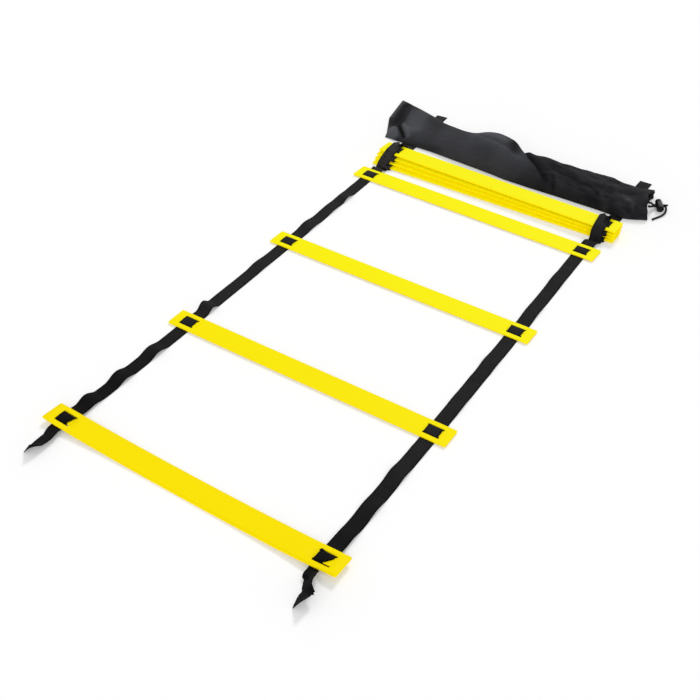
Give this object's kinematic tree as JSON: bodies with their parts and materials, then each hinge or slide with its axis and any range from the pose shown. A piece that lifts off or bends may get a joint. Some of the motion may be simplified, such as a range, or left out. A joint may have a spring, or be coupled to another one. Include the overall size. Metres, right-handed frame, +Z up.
{
  "type": "agility ladder",
  "caption": "Flat training ladder of slotted plastic slats on two webbing straps, part laid out and part folded into a stack, with its drawstring carry bag.",
  "frame": {"origin": "on the floor under the middle of the object's footprint, drawcord and cord lock left out", "axes": "+Z up, +X along the rungs to the right, +Y along the ladder from the laid-out end to the folded stack and the bag"},
  "size_m": [0.5458, 1.0228, 0.0363],
  "materials": {
    "yellow_plastic": "satin injection-moulded plastic slat",
    "black_webbing": "flat woven polypropylene webbing",
    "bag_cloth": "thin coated polyester cloth with a soft sheen",
    "black_cord": "braided polyester cord",
    "black_plastic": "moulded black plastic",
    "spring_steel": "bright spring wire"
  },
  "bodies": {
    "stack": {"rung_5": "yellow_plastic", "rung_6": "yellow_plastic", "rung_7": "yellow_plastic", "rung_8": "yellow_plastic", "strap_left_4": "black_webbing", "strap_right_4": "black_webbing", "strap_left_fold": "black_webbing", "strap_right_fold": "black_webbing", "strap_left_tail": "black_webbing", "strap_right_tail": "black_webbing"},
    "rung_4": {"rung_4": "yellow_plastic"},
    "straps_3": {"strap_left_3": "black_webbing", "strap_right_3": "black_webbing"},
    "rung_3": {"rung_3": "yellow_plastic"},
    "straps_2": {"strap_left_2": "black_webbing", "strap_right_2": "black_webbing"},
    "rung_2": {"rung_2": "yellow_plastic"},
    "straps_1": {"strap_left_1": "black_webbing", "strap_right_1": "black_webbing"},
    "rung_1": {"rung_1": "yellow_plastic"},
    "carry_bag": {"bag_shell": "bag_cloth", "bag_hem": "bag_cloth", "drawcord_short": "black_cord", "drawcord_long": "black_cord", "cord_lock_barrel": "black_plastic", "cord_lock_spring": "spring_steel"},
    "cord_lock_button": {"cord_lock_button": "black_plastic"}
  },
  "joints": [
    {"name": "fold_3", "type": "hinge", "parent": "stack", "child": "straps_3", "pos_m": [0.02842, 0.13196, 0.001], "axis": [-1, 0, 0], "range_deg": [0, 150]},
    {"name": "fold_2", "type": "hinge", "parent": "straps_3", "child": "straps_2", "pos_m": [0.02842, -0.09564, 0], "axis": [-1, 0, 0], "range_deg": [-150, 0]},
    {"name": "fold_1", "type": "hinge", "parent": "straps_2", "child": "straps_1", "pos_m": [0.02842, -0.32324, 0.001], "axis": [-1, 0, 0], "range_deg": [0, 150]},
    {"name": "rung_4_slide", "type": "slide", "parent": "stack", "child": "rung_4", "axis": [0, 1, 0], "range_m": [-0.07, 0.006], "deforming": ["strap_left_4", "strap_right_4"]},
    {"name": "rung_3_slide", "type": "slide", "parent": "straps_3", "child": "rung_3", "axis": [0, 1, 0], "range_m": [-0.07, 0.07], "deforming": ["strap_left_3", "strap_right_3"]},
    {"name": "rung_2_slide", "type": "slide", "parent": "straps_2", "child": "rung_2", "axis": [0, 1, 0], "range_m": [-0.07, 0.07], "deforming": ["strap_left_2", "strap_right_2"]},
    {"name": "rung_1_slide", "type": "slide", "parent": "straps_1", "child": "rung_1", "axis": [0, 1, 0], "range_m": [-0.03, 0.07], "deforming": ["strap_left_1", "strap_right_1"]},
    {"name": "bag_lift", "type": "slide", "parent": "stack", "child": "carry_bag", "axis": [0, 0, 1], "range_m": [0, 0.15]},
    {"name": "button_press", "type": "slide", "parent": "carry_bag", "child": "cord_lock_button", "axis": [0.4848, -0.8746, 0], "range_m": [0, 0.0025], "stiffness_N_per_m": 400, "springref_m": -0.0015, "deforming": ["cord_lock_spring"]}
  ],
  "couplings": [
    {"joint": "fold_2", "follows": "fold_3", "ratio": -1},
    {"joint": "fold_1", "follows": "fold_3", "ratio": 1}
  ]
}
